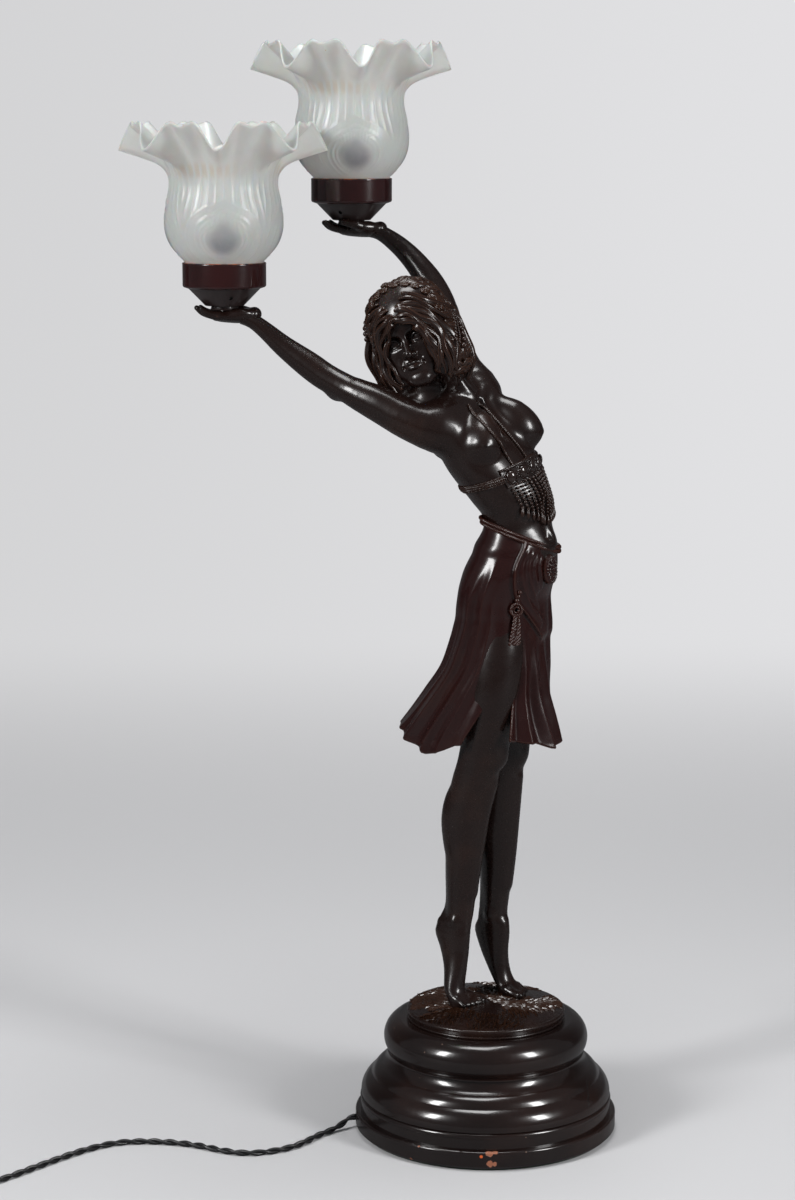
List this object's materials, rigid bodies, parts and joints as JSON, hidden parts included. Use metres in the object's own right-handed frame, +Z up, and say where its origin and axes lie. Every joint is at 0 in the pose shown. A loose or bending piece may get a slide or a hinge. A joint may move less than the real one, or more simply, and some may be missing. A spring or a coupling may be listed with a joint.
{
  "type": "figural table lamp",
  "caption": "Table lamp: a dancer figure on a round turned base holds two ruffled glass shades in cups on its raised hands; flex with switch and plug.",
  "frame": {"origin": "centre of the base's underside, where the felt rests on the table", "axes": "+Z is up, along the lamp's height; -Y is towards the figure's right flank, the side seen in the picture; +X is the way the skirt's front hangs, away from the two shades"},
  "size_m": [0.6121, 0.3268, 0.8216],
  "materials": {
    "base_lacquer": "near-black brown gloss lacquer over a terracotta-coloured cast body, chipped along its edges",
    "figure_bronze": "dark bronze-brown lacquer with a soft gloss, rubbed warmer on the high places",
    "skirt_red_brown": "mahogany red-brown lacquer with a soft gloss, darker in the folds",
    "cup_red_lacquer": "oxblood lacquer on the band, dark brown on the cone, worn to orange at the rim",
    "frosted_glass": "pressed glass, satin frosted, pale green-white",
    "bulb_glass": "opal lamp glass",
    "bulb_metal": "nickelled brass",
    "holder_plastic": "moulded white lampholder plastic",
    "fitting_plastic": "black moulded fittings",
    "flex_black": "black two-core flex",
    "rubber": "black rubber",
    "zinc_steel": "zinc-plated steel",
    "felt": "dark green felt"
  },
  "bodies": {
    "root": {"base_plinth": "base_lacquer", "base_cover": "zinc_steel", "cover_screws": "zinc_steel", "base_felt": "felt", "ground_disc": "figure_bronze", "tie_rod": "zinc_steel", "tie_washer": "zinc_steel", "tie_nut": "zinc_steel", "flex_bush": "rubber", "flex_inner": "flex_black", "cord_clamp": "fitting_plastic", "terminal_block": "fitting_plastic", "lamp_wires": "flex_black", "right_leg": "figure_bronze", "left_leg": "figure_bronze", "torso": "figure_bronze", "head": "figure_bronze", "right_arm": "figure_bronze", "left_arm": "figure_bronze", "hair": "figure_bronze", "diadem": "figure_bronze", "skirt": "skirt_red_brown", "waist_cord": "skirt_red_brown", "medallion": "skirt_red_brown", "side_tassel": "skirt_red_brown", "bust_plaque": "figure_bronze", "plaque_stones": "figure_bronze", "rib_band": "figure_bronze", "bead_fringe": "figure_bronze", "halter_cords": "figure_bronze", "right_cup": "cup_red_lacquer", "right_cup_screw": "zinc_steel", "right_nipple": "zinc_steel", "right_lampholder": "holder_plastic", "right_shade_ring": "holder_plastic", "right_shade": "frosted_glass", "left_cup": "cup_red_lacquer", "left_cup_screw": "zinc_steel", "left_nipple": "zinc_steel", "left_lampholder": "holder_plastic", "left_shade_ring": "holder_plastic", "left_shade": "frosted_glass", "flex_lead": "flex_black", "flex_link": "flex_black", "flex_coil": "flex_black", "switch_base": "fitting_plastic", "switch_cover": "fitting_plastic", "plug_body": "fitting_plastic", "plug_pins": "bulb_metal"},
    "right_bulb": {"right_bulb_glass": "bulb_glass", "right_bulb_cap": "bulb_metal"},
    "left_bulb": {"left_bulb_glass": "bulb_glass", "left_bulb_cap": "bulb_metal"},
    "rocker": {"switch_rocker": "fitting_plastic"}
  },
  "joints": [
    {"name": "right_bulb_lift", "type": "slide", "parent": "root", "child": "right_bulb", "axis": [0, 0, 1], "range_m": [0, 0.15]},
    {"name": "left_bulb_lift", "type": "slide", "parent": "root", "child": "left_bulb", "axis": [0, 0, 1], "range_m": [0, 0.15]},
    {"name": "rocker_tilt", "type": "hinge", "parent": "root", "child": "rocker", "pos_m": [-0.4265, -0.046, 0.015], "axis": [1, 0, 0], "range_deg": [0, 16]}
  ]
}
